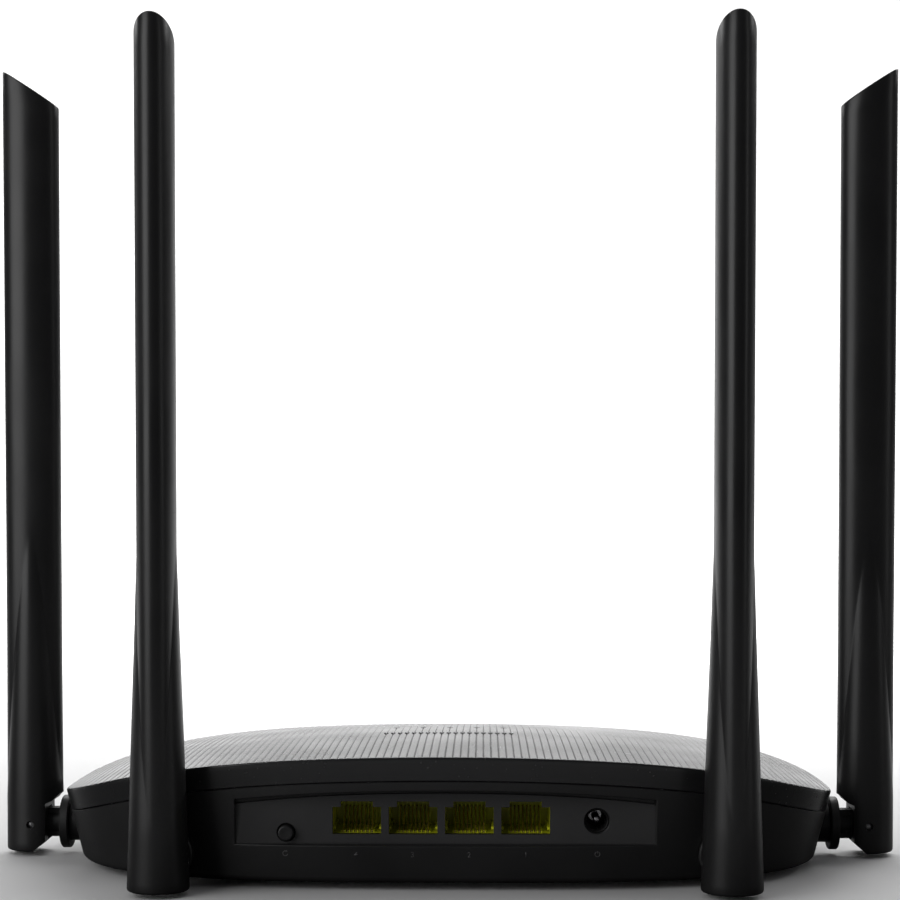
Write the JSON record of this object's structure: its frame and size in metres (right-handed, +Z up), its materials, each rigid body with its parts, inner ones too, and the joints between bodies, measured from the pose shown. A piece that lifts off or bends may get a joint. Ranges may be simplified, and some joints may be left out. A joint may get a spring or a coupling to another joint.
{
  "type": "wireless router",
  "caption": "Low black wireless router with a ribbed crowned lid, a recessed port panel with network sockets, and tall blade antennas that swivel and tilt.",
  "frame": {"origin": "on the desk, under the middle of the whole router's bounding box, antennas upright", "axes": "+X to the right seen from the port side, +Y towards the front edge, +Z up; the port side faces -Y"},
  "size_m": [0.243, 0.1334, 0.2136],
  "materials": {
    "case_plastic": "fine satin moulded black",
    "lid_plastic": "ribbed semi-gloss black",
    "foot_rubber": "matt black rubber",
    "steel": "zinc plated",
    "label_paper": "blank silver film",
    "board_laminate": "green solder mask over copper",
    "socket_plastic": "yellow-green moulded plastic",
    "contact_gold": "gold plated",
    "connector_black": "matt black plastic",
    "bright_metal": "tin plated",
    "chip_resin": "black moulding resin",
    "pad_silicone": "soft grey-blue pad",
    "aluminium": "extruded, plain",
    "capacitor_sleeve": "shrunk dark blue sleeve",
    "ferrite": "grey ferrite",
    "lamp_resin": "milky resin",
    "clear_acrylic": "clear moulded acrylic",
    "antenna_plastic": "satin moulded black",
    "hinge_plastic": "satin black nylon",
    "lead_jacket": "thin black jacket"
  },
  "bodies": {
    "case": {"bottom_case": "case_plastic", "top_cover": "lid_plastic", "rubber_feet": "foot_rubber", "case_screws": "steel", "rating_label": "label_paper", "main_board": "board_laminate", "board_screws": "steel", "lan_jack_housing": "socket_plastic", "lan_jack_contacts": "contact_gold", "power_jack_body": "connector_black", "power_jack_pin": "bright_metal", "reset_switch": "connector_black", "main_processor": "chip_resin", "thermal_pad": "pad_silicone", "heat_sink": "aluminium", "memory_chip": "chip_resin", "flash_chip": "chip_resin", "radio_chips": "chip_resin", "radio_shields": "bright_metal", "lan_transformers": "chip_resin", "capacitors": "capacitor_sleeve", "inductors": "ferrite", "crystals": "bright_metal", "coax_terminals": "contact_gold", "status_leds": "lamp_resin", "light_guide": "clear_acrylic", "rear_left_case_lead": "lead_jacket", "rear_right_case_lead": "lead_jacket", "side_left_case_lead": "lead_jacket", "side_right_case_lead": "lead_jacket"},
    "reset": {"reset_button": "case_plastic"},
    "rear_left_knuckle": {"rear_left_knuckle": "hinge_plastic", "rear_left_retaining_clip": "steel"},
    "rear_left_antenna": {"rear_left_sleeve": "antenna_plastic", "rear_left_radiator": "board_laminate", "rear_left_feed_lead": "lead_jacket", "rear_left_hinge_pin": "steel"},
    "rear_right_knuckle": {"rear_right_knuckle": "hinge_plastic", "rear_right_retaining_clip": "steel"},
    "rear_right_antenna": {"rear_right_sleeve": "antenna_plastic", "rear_right_radiator": "board_laminate", "rear_right_feed_lead": "lead_jacket", "rear_right_hinge_pin": "steel"},
    "side_left_knuckle": {"side_left_knuckle": "hinge_plastic", "side_left_retaining_clip": "steel"},
    "side_left_antenna": {"side_left_sleeve": "antenna_plastic", "side_left_radiator": "board_laminate", "side_left_feed_lead": "lead_jacket", "side_left_hinge_pin": "steel"},
    "side_right_knuckle": {"side_right_knuckle": "hinge_plastic", "side_right_retaining_clip": "steel"},
    "side_right_antenna": {"side_right_sleeve": "antenna_plastic", "side_right_radiator": "board_laminate", "side_right_feed_lead": "lead_jacket", "side_right_hinge_pin": "steel"}
  },
  "joints": [
    {"name": "reset_press", "type": "slide", "parent": "case", "child": "reset", "axis": [0, 1, 0], "range_m": [0, 0.0008], "stiffness_N_per_m": 900, "springref_m": -0.0004},
    {"name": "rear_left_swivel", "type": "hinge", "parent": "case", "child": "rear_left_knuckle", "pos_m": [-0.0703, -0.05902, 0.0086], "axis": [0, -1, 0], "range_deg": [-10, 90]},
    {"name": "rear_left_tilt", "type": "hinge", "parent": "rear_left_knuckle", "child": "rear_left_antenna", "pos_m": [-0.0703, -0.05902, 0.0086], "axis": [1, 0, 0], "range_deg": [0, 90]},
    {"name": "rear_right_swivel", "type": "hinge", "parent": "case", "child": "rear_right_knuckle", "pos_m": [0.0703, -0.05902, 0.0086], "axis": [0, 1, 0], "range_deg": [-10, 90]},
    {"name": "rear_right_tilt", "type": "hinge", "parent": "rear_right_knuckle", "child": "rear_right_antenna", "pos_m": [0.0703, -0.05902, 0.0086], "axis": [1, 0, 0], "range_deg": [0, 90]},
    {"name": "side_left_swivel", "type": "hinge", "parent": "case", "child": "side_left_knuckle", "pos_m": [-0.1138, 0.00218, 0.0086], "axis": [-1, 0, 0], "range_deg": [-90, 90]},
    {"name": "side_left_tilt", "type": "hinge", "parent": "side_left_knuckle", "child": "side_left_antenna", "pos_m": [-0.1138, 0.00218, 0.0086], "axis": [0, -1, 0], "range_deg": [0, 90]},
    {"name": "side_right_swivel", "type": "hinge", "parent": "case", "child": "side_right_knuckle", "pos_m": [0.1138, 0.00218, 0.0086], "axis": [-1, 0, 0], "range_deg": [-90, 90]},
    {"name": "side_right_tilt", "type": "hinge", "parent": "side_right_knuckle", "child": "side_right_antenna", "pos_m": [0.1138, 0.00218, 0.0086], "axis": [0, 1, 0], "range_deg": [0, 90]}
  ]
}
